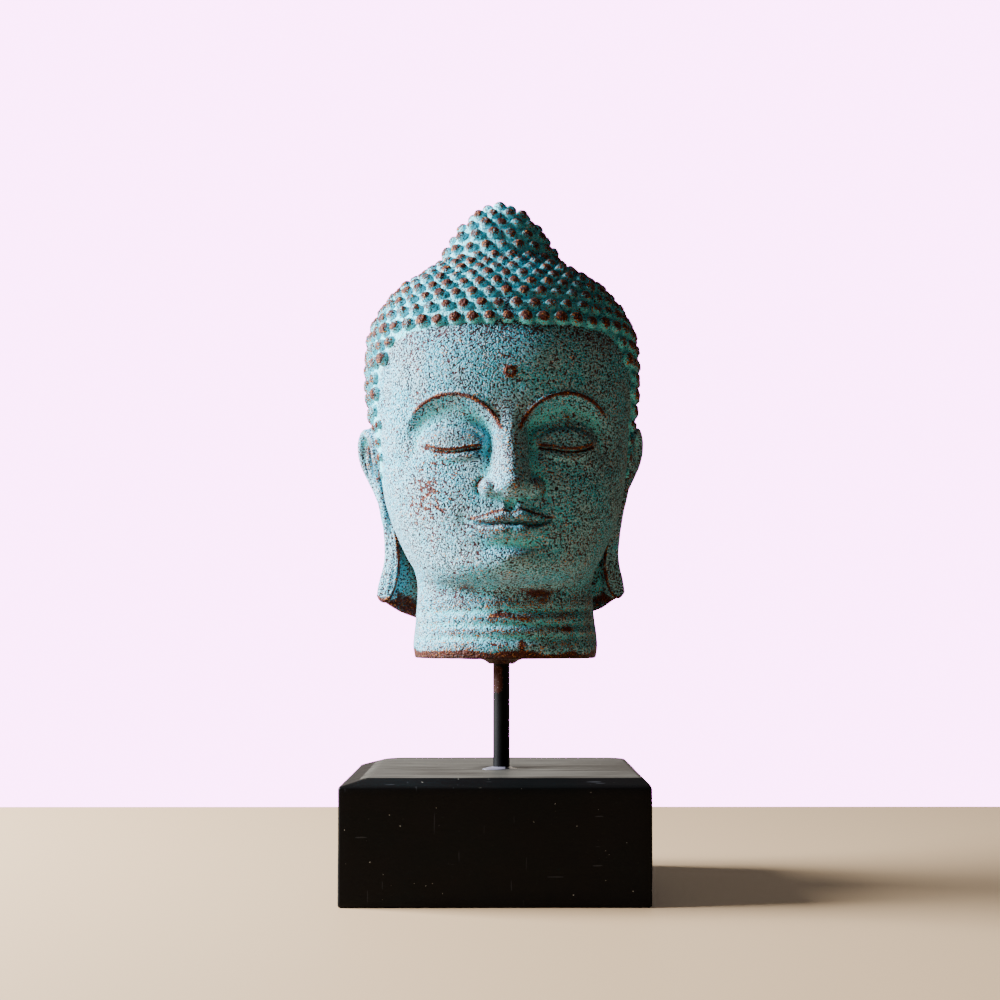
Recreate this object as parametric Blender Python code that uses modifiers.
"""A cast head with snail-curl hair, on a steel rod that stands in a painted wooden block.

Metres, +Z up. The origin is the middle of the block's underside, and the face looks along -Y.
The carving is written in parts: one part is 1/224 of the head's height, a millimetre at this size.
"""
import math

import bpy
import bmesh
import numpy as np
from mathutils import Matrix, Vector

BLOCK_WIDTH = 0.140
BLOCK_DEPTH = 0.114
BLOCK_HEIGHT = 0.057
BLOCK_TOP_INSET = 0.006
BLOCK_TOP_INSET_LEFT = 0.012
BLOCK_TOP_INSET_RIGHT = 0.0035
BLOCK_TOP_DROP = 0.0035
BLOCK_REAR_RADIUS = 0.011
BLOCK_EDGE_RADIUS = 0.0008
ROD_DIAMETER = 0.008
ROD_FREE_LENGTH = 0.053
ROD_DEPTH_IN_BLOCK = 0.035
ROD_DEPTH_IN_HEAD = 0.060
ROD_OFFSET_X = 0.003
ROD_OFFSET_Y = -0.003
ROD_END_BEVEL = 0.0008
CLEARANCE = 0.0003
COLLAR_WIDTH = 0.008
COLLAR_LIP = 0.0008
COLLAR_HEIGHT = 0.003
HEAD_HEIGHT = 0.224
HEAD_OFFSET_X = 0.002
HEAD_OFFSET_Y = 0.004
HEAD_TURN = math.radians(2.8)
HEAD_LEAN = math.radians(-0.7)

PART = HEAD_HEIGHT / 224
ROD_SIDES = 32
VOXEL = 1.05
HEAD_TRIANGLES = 8800
LOOSE = 0.00001

# Level sections of the bare head, from below the neck's cut to the topknot:
# height, rise at the back, half width, reach forward, reach back, squareness
STATIONS = (
    (-6.0, 0.0, 44.0, 40.6, 42.5, 2.1),
    (0.0, 0.0, 44.0, 40.6, 42.5, 2.1),
    (7.0, 0.0, 44.8, 41.0, 43.0, 2.1),
    (18.0, 0.5, 43.6, 39.2, 43.5, 2.1),
    (29.0, 2.5, 42.6, 38.0, 45.0, 2.1),
    (33.5, 5.5, 42.6, 42.5, 46.8, 2.1),
    (36.0, 8.5, 43.2, 52.5, 48.8, 2.1),
    (39.5, 10.0, 44.6, 59.6, 51.6, 2.15),
    (45.5, 9.0, 47.8, 62.2, 55.6, 2.2),
    (60.0, 6.0, 53.6, 62.8, 62.5, 2.25),
    (75.0, 3.0, 57.6, 62.4, 67.5, 2.3),
    (90.0, 1.0, 59.6, 61.8, 71.0, 2.35),
    (105.0, 0.0, 61.2, 61.6, 73.0, 2.35),
    (120.0, 0.0, 63.4, 62.2, 74.0, 2.3),
    (135.0, 0.0, 64.2, 61.8, 74.0, 2.25),
    (148.0, 0.0, 63.8, 58.6, 72.0, 2.2),
    (160.5, 0.0, 61.2, 52.5, 67.5, 2.1),
    (171.0, 0.0, 55.0, 44.5, 60.0, 2.05),
    (179.6, 0.0, 46.6, 35.8, 50.0, 2.0),
    (186.2, 0.0, 36.3, 27.5, 40.0, 2.0),
    (191.3, 0.0, 29.2, 21.5, 32.5, 2.0),
    (197.2, 0.0, 25.8, 18.2, 28.4, 2.0),
    (204.5, 0.0, 21.8, 14.2, 24.0, 2.0),
    (211.7, 0.0, 15.8, 9.2, 18.3, 2.0),
    (217.4, 0.0, 10.0, 5.0, 13.3, 2.0),
    (220.5, 0.0, 4.8, 0.4, 8.6, 2.0),
)
CROWN_Y, CROWN_Z = 3.9, 221.3
LOFT_ROWS, LOFT_COLUMNS = 200, 200

# Turn from the front, in degrees, where the hair begins at each height
HAIRLINE_HEIGHTS = (84.0, 88.0, 96.0, 105.0, 113.0, 122.0, 131.0, 137.0, 142.5, 147.0, 150.0, 152.4)
HAIRLINE_TURNS = (78.0, 76.0, 73.0, 70.0, 68.0, 67.0, 65.0, 60.0, 54.0, 48.0, 40.0, 0.0)
FRONT_HAIRLINE, TEMPLE, SIDEBURN_FOOT = 151.0, 112.0, 86.0
SIDEBURN_BACK, BEHIND_EAR, FULL_TURN = 83.0, 110.0, 180.0
NAPE_ROW, FIRST_ROW_HEIGHT, RING_TURN = 5.6, 154.0, math.radians(150)
CURL_GAP, RING_GAP = 7.9, 7.3
CURL_RADIUS, CURL_HEIGHT, CURL_SINK, SIDEBURN_CURL = 3.35, 3.2, 0.4, 0.72

# Face lines, right side: x and height
BROW_POINTS = (
    (3.6, 101.5), (6.2, 107.5), (11.5, 113.5), (19.5, 118.0), (29.0, 119.2), (38.5, 116.0), (46.5, 108.5),
)
UPPER_LID_POINTS = ((12.0, 95.6), (17.0, 95.0), (25.0, 93.8), (33.0, 94.6), (39.5, 97.4))
LID_CREASE_POINTS = ((10.8, 98.2), (16.0, 102.6), (25.0, 105.2), (34.0, 103.4), (41.5, 98.0))
MOUTH_POINTS = ((0.0, 60.6), (3.5, 60.9), (8.0, 60.2), (14.0, 60.7), (19.0, 62.6))
LIP_TOP_POINTS = ((0.0, 64.9), (3.6, 66.4), (8.5, 65.5), (14.5, 63.8), (19.2, 62.7))
LIP_FOOT_POINTS = ((0.0, 53.6), (6.0, 53.8), (11.5, 55.6), (16.0, 58.8), (19.0, 62.2))
NOSE_HEIGHTS = (66.0, 70.6, 71.6, 72.8, 74.6, 77.4, 82.0, 90.0, 99.0, 106.0, 112.0, 120.0)
NOSE_CREST = (60.0, 60.0, 66.0, 71.6, 74.4, 75.4, 73.9, 70.0, 66.2, 63.9, 61.6, 57.0)
NOSE_HALF_WIDTH = (11.0, 11.9, 12.1, 12.3, 12.4, 12.3, 11.6, 9.8, 8.6, 8.4, 9.6, 12.0)
NOSE_FLOOR = 54.0
FOREHEAD_MARK_HEIGHT, FOREHEAD_MARK_RADIUS = 128.5, 3.1

# Ear, right side: x, y, height and radius along each roll
HELIX = (
    (61.0, 1.0, 86.5, 1.4), (61.8, -3.4, 93.5, 1.6), (62.6, -4.0, 101.5, 1.7), (64.2, 0.5, 108.6, 1.8),
    (67.4, 7.0, 112.2, 2.0), (69.7, 14.0, 107.0, 2.1), (69.4, 17.6, 99.5, 2.1), (66.0, 17.4, 91.0, 2.1),
    (61.2, 15.2, 82.5, 2.2), (57.9, 12.6, 73.5, 2.5), (55.3, 10.8, 63.5, 2.9), (54.1, 9.8, 54.5, 3.3),
    (53.7, 9.2, 46.5, 3.6), (54.8, 8.8, 40.0, 4.0), (56.6, 8.4, 34.5, 4.1), (57.0, 7.9, 31.4, 3.7),
)
EAR_FRONT = (
    (60.8, -4.6, 88.0, 1.4), (59.6, -4.2, 81.5, 1.7), (57.6, -3.2, 74.0, 2.2), (55.6, -2.0, 65.0, 2.7),
    (54.2, -1.2, 56.0, 3.2), (53.6, -0.6, 48.0, 3.6), (54.6, 0.2, 41.0, 4.0), (56.4, 0.8, 35.0, 4.1),
    (56.8, 1.6, 31.4, 3.7),
)
EAR_FOLD = (
    (65.0, 8.0, 105.0, 1.2), (66.2, 12.0, 98.5, 1.5), (64.2, 11.6, 90.5, 1.6), (61.0, 8.6, 83.0, 1.6),
    (58.2, 5.4, 76.5, 1.8),
)
LOBE_CORE = (
    (58.0, 4.6, 78.0, 3.6), (55.0, 4.4, 68.0, 4.2), (53.0, 4.2, 58.0, 4.4), (52.8, 4.2, 48.0, 4.6),
    (53.8, 4.4, 40.0, 4.8), (54.4, 4.6, 33.0, 4.6), (53.0, 4.8, 29.0, 4.0),
)
HELIX_LOOP_POINTS, HELIX_ROOT_DEPTH, HELIX_ROOT_RADIUS = 10, 4.2, 3.4
EAR_BOWL_THICKNESS, EAR_BOWL_LAP, EAR_BOWL_TURN = 3.6, 1.2, 14.0
LOBE_WEB = (
    (40.0, 60.0), (52.5, 60.0), (53.5, 44.0), (57.0, 29.5), (50.0, 24.0), (38.0, 19.0), (36.0, 50.0),
)
WEB_FRONT, WEB_BACK = 4.0, 12.0
LOBE_FOOT, LOBE_ROOT = 30.0, 85.0
LEFT_LOBE_OUT, LEFT_LOBE_DROP = -1.4, -0.4
RIGHT_LOBE_OUT, RIGHT_LOBE_DROP = 1.8, 0.3
NECK_GROOVES, NECK_GROOVE_DEPTH, NECK_GROOVE_WIDTH = (22.0, 15.8, 9.8), 0.9, 1.1
NECK_SWELLS, NECK_SWELL_RISE, NECK_SWELL_WIDTH = (26.0, 18.8, 12.8), 0.6, 2.2


def clear_scene():
    """Remove every object that is already in the scene."""
    for item in list(bpy.data.objects):
        bpy.data.objects.remove(item, do_unlink=True)


def new_collection(name):
    """Add a collection to the scene."""
    collection = bpy.data.collections.new(name)
    bpy.context.scene.collection.children.link(collection)
    return collection


def new_material(name, colour, roughness, metallic):
    """Plain material for one sub-part."""
    material = bpy.data.materials.new(name)
    material.use_nodes = True
    shader = material.node_tree.nodes["Principled BSDF"]
    shader.inputs["Base Color"].default_value = (*colour, 1.0)
    shader.inputs["Roughness"].default_value = roughness
    shader.inputs["Metallic"].default_value = metallic
    return material


def new_object(name, mesh, collection):
    """Put a mesh into a collection as an object."""
    item = bpy.data.objects.new(name, mesh)
    collection.objects.link(item)
    return item


def mesh_from(name, build):
    """Make a mesh with a function that fills a bmesh."""
    work = bmesh.new()
    build(work)
    mesh = bpy.data.meshes.new(name)
    work.to_mesh(mesh)
    work.free()
    return mesh


def frozen_mesh(item):
    """Mesh of an object as its modifiers leave it."""
    bpy.context.view_layer.update()
    depsgraph = bpy.context.evaluated_depsgraph_get()
    return bpy.data.meshes.new_from_object(item.evaluated_get(depsgraph))


def smooth_step(low, high, value):
    """0 below low, 1 above high and a soft S between."""
    share = np.clip((value - low) / (high - low), 0.0, 1.0)
    return share * share * (3.0 - 2.0 * share)


def soft_max(first, second, blend):
    """Larger of two surfaces, rounded where they meet."""
    share = np.clip(0.5 + 0.5 * (first - second) / blend, 0.0, 1.0)
    return second * (1 - share) + first * share + blend * share * (1 - share)


def mound(x, z, centre, size):
    """Soft round swelling."""
    return np.exp(-(((x - centre[0]) / size[0]) ** 2) - ((z - centre[1]) / size[1]) ** 2)


def ridge(distance, width):
    """Soft roll that follows a line."""
    return np.exp(-((distance / width) ** 2))


def ends(share, start, end):
    """1 along a line, falling to 0 over a share of it at its start and at its end."""
    return smooth_step(0, start, share) * smooth_step(0, end, 1 - share)


def dome(x, z, centre, size, floor, rise):
    """Front of an ellipsoid, as a depth that keeps falling outside its outline."""
    inside = 1 - ((x - centre[0]) / size[0]) ** 2 - ((z - centre[1]) / size[1]) ** 2
    return floor + rise * np.sign(inside) * np.sqrt(np.abs(inside))


def curve_through(knots, values, places):
    """Smooth curve through a few values, read at the places asked for."""
    knots, values = np.asarray(knots, float), np.asarray(values, float)
    slopes = np.gradient(values, knots, axis=0)
    index = np.clip(np.searchsorted(knots, places) - 1, 0, len(knots) - 2)
    width = knots[index + 1] - knots[index]
    t = np.clip((places - knots[index]) / width, 0, 1)
    if values.ndim > 1:
        t, width = t[:, None], width[:, None]
    from_start = (2 * t**3 - 3 * t**2 + 1) * values[index] + (t**3 - 2 * t**2 + t) * slopes[index] * width
    from_end = (3 * t**2 - 2 * t**3) * values[index + 1] + (t**3 - t**2) * slopes[index + 1] * width
    return from_start + from_end


def drawn_line(points, count=28):
    """Carved line as a smooth run of points."""
    points = np.asarray(points, float)
    steps = np.linalg.norm(np.diff(points, axis=0), axis=1)
    along = np.concatenate([[0.0], np.cumsum(steps)])
    return curve_through(along, points, np.linspace(0, along[-1], count))


def distance_to(line, x, z):
    """Distance of each point to a drawn line, and the share of the line where it is nearest."""
    nearest = np.full(x.shape, np.inf)
    share = np.zeros(x.shape)
    for index, (start, end) in enumerate(zip(line[:-1], line[1:])):
        along = end - start
        t = ((x - start[0]) * along[0] + (z - start[1]) * along[1]) / (along @ along)
        t = np.clip(t, 0, 1)
        gap = np.hypot(x - start[0] - t * along[0], z - start[1] - t * along[1])
        nearer = gap < nearest
        nearest[nearer] = gap[nearer]
        share[nearer] = ((index + t) / (len(line) - 1))[nearer]
    return nearest, share


def height_on(line, x):
    """Height of a drawn line above each x."""
    return np.interp(x, line[:, 0], line[:, 1])


def shape_cheeks_and_chin(x, z, front):
    """Full cheeks, the muzzle, the chin and the hollow under the lip."""
    front = front + 2.2 * mound(x, z, (33, 75), (15, 18))
    front = front + 3.0 * mound(x, z, (0, 61), (18, 13))
    front = front + 3.4 * mound(x, z, (0, 44.5), (12, 7))
    return front - 2.6 * mound(x, z, (0, 50.6), (13, 3))


def shape_eyes(x, z, front):
    """Sockets under the brows, and eyeballs behind lowered lids."""
    brow = drawn_line(BROW_POINTS)
    below = height_on(brow, x) - z
    across = smooth_step(3, 9, x) * (1 - smooth_step(38, 52, x))
    front = front - 4.6 * smooth_step(-0.6, 7.5, below) * (1 - smooth_step(15, 27, below)) * across
    front = front - 2.6 * mound(x, z, (12.5, 102.5), (5.5, 7.5))
    outward = x - 25.3
    ball = dome(x, z, (25.3, 97.0), (16.4, 11.6), 49.4, 8.6)
    ball = ball - 0.012 * outward * np.abs(outward) - 0.12 * outward
    front = soft_max(front, ball, 2.4)
    lid, lid_share = distance_to(drawn_line(UPPER_LID_POINTS), x, z)
    crease, crease_share = distance_to(drawn_line(LID_CREASE_POINTS), x, z)
    front = front - 1.6 * ridge(lid, 1.2) * ends(lid_share, 0.1, 0.1)
    front = front - 1.1 * ridge(crease, 1.0) * ends(crease_share, 0.15, 0.15)
    cord, cord_share = distance_to(brow, x, z)
    return front + 1.3 * ridge(cord, 1.2) * ends(cord_share, 0.1, 0.22)


def shape_nose(x, z, front):
    """Straight ridge that runs down from the brows, with its tip and wings."""
    level = np.clip(z, NOSE_HEIGHTS[0], NOSE_HEIGHTS[-1])
    crest = curve_through(NOSE_HEIGHTS, NOSE_CREST, level)
    half_width = curve_through(NOSE_HEIGHTS, NOSE_HALF_WIDTH, level)
    fall = np.clip(1 - (x / half_width) ** 2.1, 0, 1) ** 0.72
    nose = NOSE_FLOOR + (crest - NOSE_FLOOR) * fall - 40 * np.clip(x / half_width - 1, 0, None)
    nose = np.where((z > 70) & (z < NOSE_HEIGHTS[-1]), nose, 0)
    front = soft_max(front, nose, 2.2)
    front = soft_max(front, dome(x, z, (9.3, 76.9), (6.0, 5.2), 57.5, 11.6), 2.0)
    return soft_max(front, dome(x, z, (0, 77.2), (7.6, 5.6), 62.0, 14.2), 2.0)


def shape_mouth(x, z, front):
    """Closed lips with a quiet smile."""
    mouth = drawn_line(MOUTH_POINTS)
    middle = height_on(mouth, x)
    top = height_on(drawn_line(LIP_TOP_POINTS), x)
    foot = height_on(drawn_line(LIP_FOOT_POINTS), x)
    inside = 1 - smooth_step(17.0, 19.6, x)
    upper = np.clip((z - middle) / np.maximum(top - middle, 0.3), 0, 1)
    lower = np.clip((middle - z) / np.maximum(middle - foot, 0.3), 0, 1)
    front = front + 2.5 * np.sin(np.pi * upper) * inside * (1 - 0.35 * smooth_step(4, 16, x))
    front = front + 3.4 * np.sin(np.pi * lower) * inside * (1 - 0.45 * smooth_step(6, 17, x))
    gap, gap_share = distance_to(mouth, x, z)
    return front - 1.3 * ridge(gap, 1.0) * smooth_step(0, 0.06, 1 - gap_share)


def shape_forehead_mark(x, z, front):
    """Low round mark between the brows and the hair."""
    return front + 1.3 * (1 - smooth_step(1.7, FOREHEAD_MARK_RADIUS, np.hypot(x, z - FOREHEAD_MARK_HEIGHT)))


def neck_rolls(z):
    """Three soft rolls round the front of the neck, as an outward offset."""
    offset = np.zeros(z.shape)
    for height in NECK_GROOVES:
        offset -= NECK_GROOVE_DEPTH * ridge(z - height, NECK_GROOVE_WIDTH)
    for height in NECK_SWELLS:
        offset += NECK_SWELL_RISE * ridge(z - height, NECK_SWELL_WIDTH)
    return offset


def bare_head(row, turn):
    """Point of the bare head at a row, counted in stations, and at a turn from the front."""
    table = np.array(STATIONS)
    values = curve_through(np.arange(len(table)), table, np.ravel(row))
    z, rise, half_width, front, back, square = values.T.reshape(table.shape[1], *np.shape(row))
    sine, cosine = np.sin(turn), np.cos(turn)
    rounding = 2 / square
    x = half_width * np.sign(sine) * np.abs(sine) ** rounding
    reach = np.where(cosine > 0, front, back)
    y = -reach * np.sign(cosine) * np.abs(cosine) ** np.where(cosine > 0, rounding, 1.0)
    return x, y, z + rise * (1 - cosine) / 2


def carved_head(row, turn):
    """Point of the head with its face and neck rolls."""
    x, y, z = bare_head(row, turn)
    side = np.abs(x)
    front = -y
    for shape in (shape_cheeks_and_chin, shape_eyes, shape_nose, shape_mouth, shape_forehead_mark):
        front = shape(side, z, front)
    facing = 1 - smooth_step(math.radians(60), math.radians(84), np.abs(turn))
    y = y - (front + y) * facing
    swell = neck_rolls(z) * (1 - smooth_step(math.radians(48), math.radians(88), np.abs(turn)))
    spread = 1 + swell * (1 - smooth_step(27, 31, z)) / np.maximum(np.hypot(x, y), 1)
    return x * spread, y * spread, z


def head_loft():
    """Skin of the bare head, with even rows and columns, closed at the neck and the crown."""
    fine = np.linspace(0, len(STATIONS) - 1, 2000)
    path = np.stack(carved_head(fine, np.zeros(fine.shape)), -1)
    length = np.concatenate([[0.0], np.cumsum(np.linalg.norm(np.diff(path, axis=0), axis=1))])
    rows = np.interp(np.linspace(0, length[-1], LOFT_ROWS), length, fine)
    turns = np.linspace(-math.pi, math.pi, LOFT_COLUMNS, endpoint=False)
    x, y, z = carved_head(*np.meshgrid(rows, turns, indexing="ij"))
    points = np.stack([x, y, z], -1).reshape(-1, 3)
    points = np.vstack([points, (0, 0, STATIONS[0][0]), (0, CROWN_Y, CROWN_Z)])
    faces = []
    for row in range(LOFT_ROWS - 1):
        for column in range(LOFT_COLUMNS):
            low, beside = row * LOFT_COLUMNS + column, row * LOFT_COLUMNS + (column + 1) % LOFT_COLUMNS
            faces.append((low, beside, beside + LOFT_COLUMNS, low + LOFT_COLUMNS))
    last = (LOFT_ROWS - 1) * LOFT_COLUMNS
    for column in range(LOFT_COLUMNS):
        beside = (column + 1) % LOFT_COLUMNS
        faces.append((beside, column, last + LOFT_COLUMNS))
        faces.append((last + column, last + beside, last + LOFT_COLUMNS + 1))
    mesh = bpy.data.meshes.new("head_loft")
    mesh.from_pydata(points.tolist(), [], faces)
    return mesh


def path_length(path):
    """Running length along a run of points."""
    return np.concatenate([[0.0], np.cumsum(np.linalg.norm(np.diff(path, axis=0), axis=1))])


def curl_rings():
    """Rows of the rings of curls, from the nape to the tip of the topknot."""
    fine = np.linspace(NAPE_ROW, len(STATIONS) - 1.15, 2000)
    length = path_length(np.stack(bare_head(fine, np.full(fine.shape, RING_TURN)), -1))
    heights = bare_head(fine, np.zeros(fine.shape))[2]
    first = float(np.interp(FIRST_ROW_HEIGHT, heights, length))
    down, up = int(first // RING_GAP), int((length[-1] - first) // RING_GAP)
    marks = [first + RING_GAP * step for step in range(-down, 0)]
    marks += [first + (length[-1] - first) * step / up for step in range(up + 1)]
    return [float(np.interp(mark, length, fine)) for mark in marks]


def curls_along(row, start, end, shifted):
    """Turns of the curls along one side of a ring."""
    turns = np.radians(np.linspace(start, end, 300))
    length = path_length(np.stack(bare_head(np.full(turns.shape, row), turns), -1))
    count = max(1, round(length[-1] / CURL_GAP))
    marks = (np.arange(count) + 0.5) / count if shifted else np.arange(count + 1) / count
    return np.interp(marks * length[-1], length, turns)


def curl_places():
    """Row, turn and size of every curl: those in front of the ears are smaller."""
    places = [(len(STATIONS) - 1.0, 0.0, 1.0)]
    for index, row in enumerate(curl_rings()):
        height = float(bare_head(np.array([row]), np.zeros(1))[2][0])
        edge = float(np.interp(height, HAIRLINE_HEIGHTS, HAIRLINE_TURNS))
        if height > FRONT_HAIRLINE:
            spans = [(0.0, FULL_TURN)]
        elif height > TEMPLE:
            spans = [(edge + 3.0, FULL_TURN)]
        elif height > SIDEBURN_FOOT:
            spans = [(edge + 2.0, SIDEBURN_BACK), (BEHIND_EAR, FULL_TURN)]
        else:
            spans = [(BEHIND_EAR, FULL_TURN)]
        for start, end in spans:
            for turn in curls_along(row, start, end, index % 2 == 1):
                size = SIDEBURN_CURL if height < TEMPLE and turn < math.pi / 2 else 1.0
                places.append((row, turn, size))
                if 0.001 < turn < math.pi - 0.001:
                    places.append((row, -turn, size))
    return places


def curl_mesh():
    """Every curl, a small round knob that stands square on the skin."""
    row, turn, sizes = np.array(curl_places()).T
    points = np.stack(bare_head(row, turn), -1)
    upward = np.stack(bare_head(row + 0.02, turn), -1) - np.stack(bare_head(row - 0.02, turn), -1)
    around = np.stack(bare_head(row, turn + 0.01), -1) - np.stack(bare_head(row, turn - 0.01), -1)
    outward = np.cross(around, upward)

    def build(work):
        form = Matrix.Diagonal((CURL_RADIUS, CURL_RADIUS, CURL_HEIGHT, 1.0))
        for point, direction, size in zip(points, outward, sizes):
            axis = Vector(direction).normalized()
            turned = axis.to_track_quat("Z", "Y").to_matrix().to_4x4()
            place = Matrix.Translation(Vector(point) - axis * CURL_SINK)
            shape = place @ turned @ form @ Matrix.Scale(size, 4)
            bmesh.ops.create_icosphere(work, subdivisions=2, radius=1, matrix=shape)

    return mesh_from("curls", build)


def ear_point(side, x, y, z):
    """Place of a point of the ear on one side: the lobes hang a little differently left and right."""
    out, drop = (LEFT_LOBE_OUT, LEFT_LOBE_DROP) if side > 0 else (RIGHT_LOBE_OUT, RIGHT_LOBE_DROP)
    low = float(1 - smooth_step(LOBE_FOOT, LOBE_ROOT, z))
    return side * (x + out * low), y, z - drop * low


def roll_mesh(name, path, side):
    """Tapering roll of the ear: a beveled curve, made a mesh and welded at its caps."""
    curve = bpy.data.curves.new(name, "CURVE")
    curve.dimensions = "3D"
    curve.bevel_depth = 1
    curve.bevel_resolution = 3
    curve.resolution_u = 4
    curve.use_fill_caps = True
    spline = curve.splines.new("NURBS")
    spline.points.add(len(path) - 1)
    for point, (x, y, z, radius) in zip(spline.points, path):
        point.co = (*ear_point(side, x, y, z), 1.0)
        point.radius = radius
    spline.order_u = 3
    spline.use_endpoint_u = True
    item = new_object(name, curve, bpy.context.scene.collection)
    mesh = frozen_mesh(item)
    bpy.data.objects.remove(item)
    return mesh


def bowl_mesh(side):
    """Floor of the ear's hollow, which fills the loop of the helix."""
    loop = np.array(HELIX[:HELIX_LOOP_POINTS])[:, :3]
    low, high = loop.min(axis=0), loop.max(axis=0)
    _, y, z = (low + high) / 2
    _, depth, height = (high - low) / 2 + EAR_BOWL_LAP

    def build(work):
        place = Matrix.Translation(Vector(ear_point(side, low[0], y, z)))
        turned = Matrix.Rotation(math.radians(-side * EAR_BOWL_TURN), 4, "Z")
        size = Matrix.Diagonal((EAR_BOWL_THICKNESS, depth, height, 1.0))
        bmesh.ops.create_icosphere(work, subdivisions=3, radius=1, matrix=place @ turned @ size)

    return mesh_from("ear_bowl", build)


def web_mesh(side):
    """Thin wall that joins the hanging lobe to the neck."""

    def build(work):
        outline = [work.verts.new(ear_point(side, x, WEB_FRONT, z)) for x, z in LOBE_WEB]
        face = work.faces.new(outline)
        moved = bmesh.ops.extrude_face_region(work, geom=[face])["geom"]
        corners = [part for part in moved if isinstance(part, bmesh.types.BMVert)]
        bmesh.ops.translate(work, vec=(0, WEB_BACK - WEB_FRONT, 0), verts=corners)
        bmesh.ops.recalc_face_normals(work, faces=work.faces)

    return mesh_from("lobe_web", build)


def ear_meshes(side):
    """Pieces of one ear."""
    root = [(x - HELIX_ROOT_DEPTH, y, z, HELIX_ROOT_RADIUS) for x, y, z, _ in HELIX[:HELIX_LOOP_POINTS]]
    rolls = (("helix", HELIX), ("ear_front", EAR_FRONT), ("ear_fold", EAR_FOLD), ("lobe_core", LOBE_CORE))
    meshes = [roll_mesh(name, path, side) for name, path in (*rolls, ("helix_root", root))]
    return meshes + [bowl_mesh(side), web_mesh(side)]


def joined_mesh(name, meshes):
    """Several meshes as one, with their loose doubles merged."""

    def build(work):
        for mesh in meshes:
            work.from_mesh(mesh)
        bmesh.ops.remove_doubles(work, verts=work.verts, dist=LOOSE)

    joined = mesh_from(name, build)
    for mesh in meshes:
        bpy.data.meshes.remove(mesh)
    return joined


def add_boolean(item, cutter, operation):
    """Cut or join with the exact solver."""
    modifier = item.modifiers.new(operation.title(), "BOOLEAN")
    modifier.object = cutter
    modifier.operation = operation
    modifier.solver = "EXACT"


def hidden_tool(name, mesh, collection):
    """Object that only cuts or joins, and isn't a part itself."""
    item = new_object(name, mesh, collection)
    item.hide_render = True
    item.display_type = "WIRE"
    return item


def cone_mesh(name, low_radius, high_radius, low, high):
    """Upright cone or cylinder on the Z axis between two heights."""

    def build(work):
        place = Matrix.Translation((0, 0, (low + high) / 2))
        bmesh.ops.create_cone(
            work, cap_ends=True, segments=ROD_SIDES, radius1=low_radius, radius2=high_radius,
            depth=high - low, matrix=place,
        )

    return mesh_from(name, build)


def keep_outer_skin(mesh):
    """Drop the closed pockets that the melt leaves where rolls meet, and keep the largest skin."""
    work = bmesh.new()
    work.from_mesh(mesh)
    waiting = set(work.verts)
    skins = []
    while waiting:
        edge_of_skin = [waiting.pop()]
        skin = list(edge_of_skin)
        while edge_of_skin:
            corner = edge_of_skin.pop()
            for edge in corner.link_edges:
                other = edge.other_vert(corner)
                if other in waiting:
                    waiting.discard(other)
                    edge_of_skin.append(other)
                    skin.append(other)
        skins.append(skin)
    largest = max(skins, key=len)
    pockets = [corner for skin in skins if skin is not largest for corner in skin]
    bmesh.ops.delete(work, geom=pockets, context="VERTS")
    work.to_mesh(mesh)
    work.free()


def carve_head_form(collection):
    """Head as one skin, in parts: the loft, ears and curls melted together and thinned to few faces."""
    meshes = [head_loft(), curl_mesh(), *ear_meshes(1), *ear_meshes(-1)]
    form = hidden_tool("head_form", joined_mesh("head_form", meshes), collection)
    melt = form.modifiers.new("Melt", "REMESH")
    melt.mode = "VOXEL"
    melt.voxel_size = VOXEL
    melt_mesh = frozen_mesh(form)
    form.modifiers.remove(melt)
    keep_outer_skin(melt_mesh)
    form.data = melt_mesh
    thin = form.modifiers.new("Thin", "DECIMATE")
    thin.ratio = HEAD_TRIANGLES / (2 * len(melt_mesh.polygons))
    thin.use_collapse_triangulate = True
    form.data = frozen_mesh(form)
    form.modifiers.remove(thin)
    return form


def make_head(parts, tools):
    """Head with its neck cut flat, the collar under it and the socket for the rod."""
    form = carve_head_form(tools)
    head = new_object("head", form.data.copy(), parts)
    bpy.data.objects.remove(form)
    stance = Matrix.Rotation(HEAD_LEAN, 4, "Y") @ Matrix.Rotation(HEAD_TURN, 4, "Z")
    shift = Matrix.Translation((HEAD_OFFSET_X, HEAD_OFFSET_Y, 0))
    head.data.transform(shift @ stance @ Matrix.Scale(PART, 4))

    def build_cut(work):
        bmesh.ops.create_cube(work, size=HEAD_HEIGHT)
        bmesh.ops.translate(work, vec=(0, 0, -HEAD_HEIGHT / 2), verts=work.verts)

    cut = hidden_tool("neck_cut", mesh_from("neck_cut", build_cut), tools)
    bore_radius = ROD_DIAMETER / 2 + CLEARANCE
    collar_radius = bore_radius + COLLAR_LIP
    flare = collar_radius + 2 * COLLAR_WIDTH
    collar_mesh = cone_mesh("collar", collar_radius, flare, -COLLAR_HEIGHT, COLLAR_HEIGHT)
    collar = hidden_tool("collar", collar_mesh, tools)
    socket_top = ROD_DEPTH_IN_HEAD + CLEARANCE
    bore_mesh = cone_mesh("rod_socket", bore_radius, bore_radius, -ROD_FREE_LENGTH, socket_top)
    bore = hidden_tool("rod_socket", bore_mesh, tools)
    for item in (head, cut, collar, bore):
        item.location = (ROD_OFFSET_X, ROD_OFFSET_Y, BLOCK_HEIGHT + ROD_FREE_LENGTH)
    add_boolean(head, cut, "DIFFERENCE")
    add_boolean(head, collar, "UNION")
    add_boolean(head, bore, "DIFFERENCE")
    return head


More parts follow.
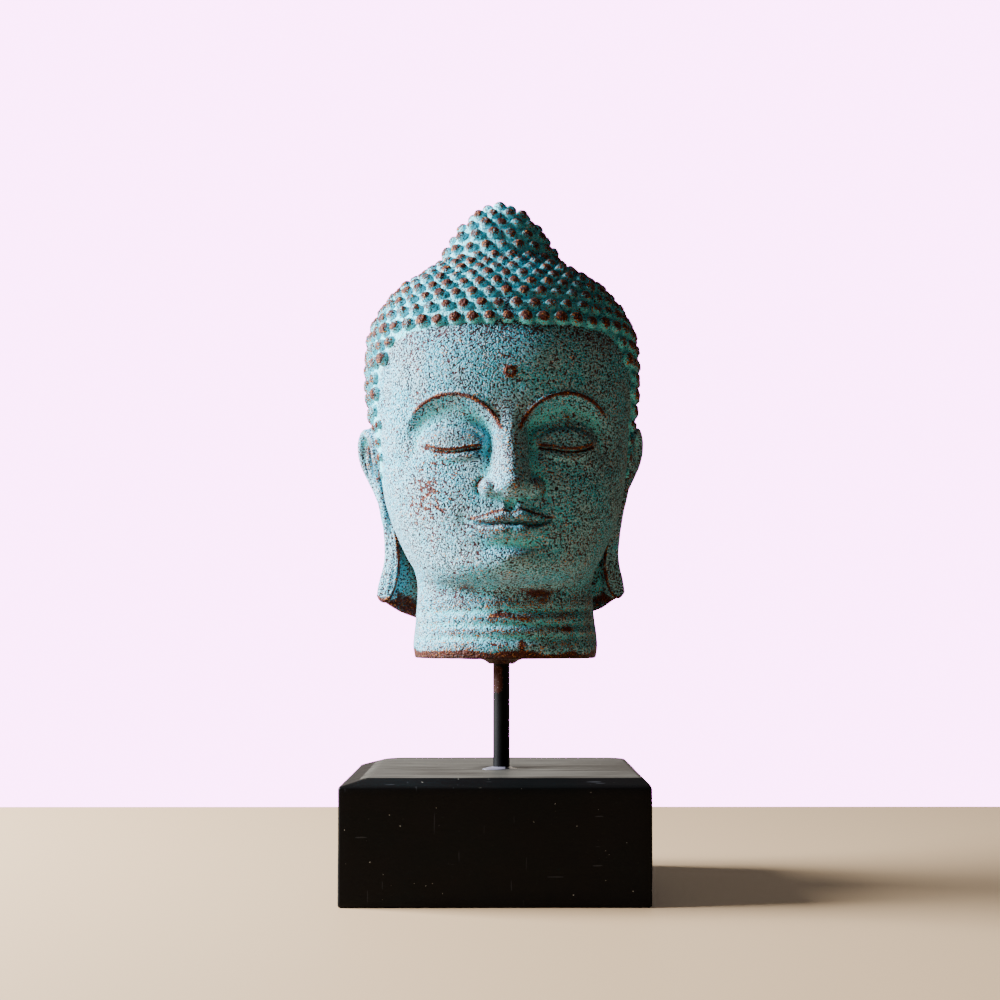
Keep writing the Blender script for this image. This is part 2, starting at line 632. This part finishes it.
def make_rod(parts):
    """Round steel rod with slightly broken ends."""
    low = BLOCK_HEIGHT - ROD_DEPTH_IN_BLOCK
    high = BLOCK_HEIGHT + ROD_FREE_LENGTH + ROD_DEPTH_IN_HEAD
    rod = new_object("rod", cone_mesh("rod", ROD_DIAMETER / 2, ROD_DIAMETER / 2, low, high), parts)
    rod.location = (ROD_OFFSET_X, ROD_OFFSET_Y, 0)
    bevel = rod.modifiers.new("Broken ends", "BEVEL")
    bevel.width = ROD_END_BEVEL
    bevel.segments = 1
    bevel.limit_method = "ANGLE"
    bevel.angle_limit = math.radians(60)
    return rod


def make_block(parts, tools):
    """Wooden block: rounded rear corners, a sloped edge round its top, and the rod's hole."""

    def build(work):
        size = Matrix.Diagonal((BLOCK_WIDTH, BLOCK_DEPTH, BLOCK_HEIGHT, 1.0))
        bmesh.ops.create_cube(work, size=1.0, matrix=Matrix.Translation((0, 0, BLOCK_HEIGHT / 2)) @ size)
        rear = [edge for edge in work.edges if all(corner.co.y > 0 for corner in edge.verts)]
        upright = [edge for edge in rear if edge.verts[0].co.x * edge.verts[1].co.x > 0]
        bmesh.ops.bevel(
            work, geom=upright, offset=BLOCK_REAR_RADIUS, segments=6, profile=0.5, affect="EDGES",
        )
        top = [face for face in work.faces if face.normal.z > 0.5]
        bmesh.ops.inset_region(work, faces=top, thickness=BLOCK_TOP_INSET)
        sides = BLOCK_TOP_INSET_LEFT + BLOCK_TOP_INSET_RIGHT
        stretch = (BLOCK_WIDTH - sides) / (BLOCK_WIDTH - 2 * BLOCK_TOP_INSET)
        for corner in work.verts:
            if corner in top[0].verts:
                corner.co.x = corner.co.x * stretch + (BLOCK_TOP_INSET_LEFT - BLOCK_TOP_INSET_RIGHT) / 2
            elif abs(corner.co.z - BLOCK_HEIGHT) < LOOSE:
                corner.co.z -= BLOCK_TOP_DROP

    block = new_object("base_block", mesh_from("base_block", build), parts)
    bevel = block.modifiers.new("Soft edges", "BEVEL")
    bevel.width = BLOCK_EDGE_RADIUS
    bevel.segments = 2
    bevel.limit_method = "ANGLE"
    bevel.angle_limit = math.radians(25)
    radius = ROD_DIAMETER / 2 + CLEARANCE
    low = BLOCK_HEIGHT - ROD_DEPTH_IN_BLOCK - CLEARANCE
    high = BLOCK_HEIGHT + ROD_FREE_LENGTH
    hole = hidden_tool("rod_hole", cone_mesh("rod_hole", radius, radius, low, high), tools)
    hole.location = (ROD_OFFSET_X, ROD_OFFSET_Y, 0)
    add_boolean(block, hole, "DIFFERENCE")
    return block


def main():
    """Build the whole object."""
    clear_scene()
    parts = new_collection("buddha_head_on_stand")
    tools = new_collection("cutters")
    finishes = (
        (make_block(parts, tools), new_material("black_painted_wood", (0.012, 0.012, 0.013), 0.45, 0.0)),
        (make_rod(parts), new_material("black_painted_steel", (0.015, 0.014, 0.014), 0.4, 0.0)),
        (make_head(parts, tools), new_material("turquoise_patina", (0.24, 0.45, 0.45), 0.75, 0.0)),
    )
    for item, material in finishes:
        item.data.materials.clear()
        item.data.materials.append(material)
        item.data.shade_smooth()
        item.data.set_sharp_from_angle(angle=math.radians(40))


main()
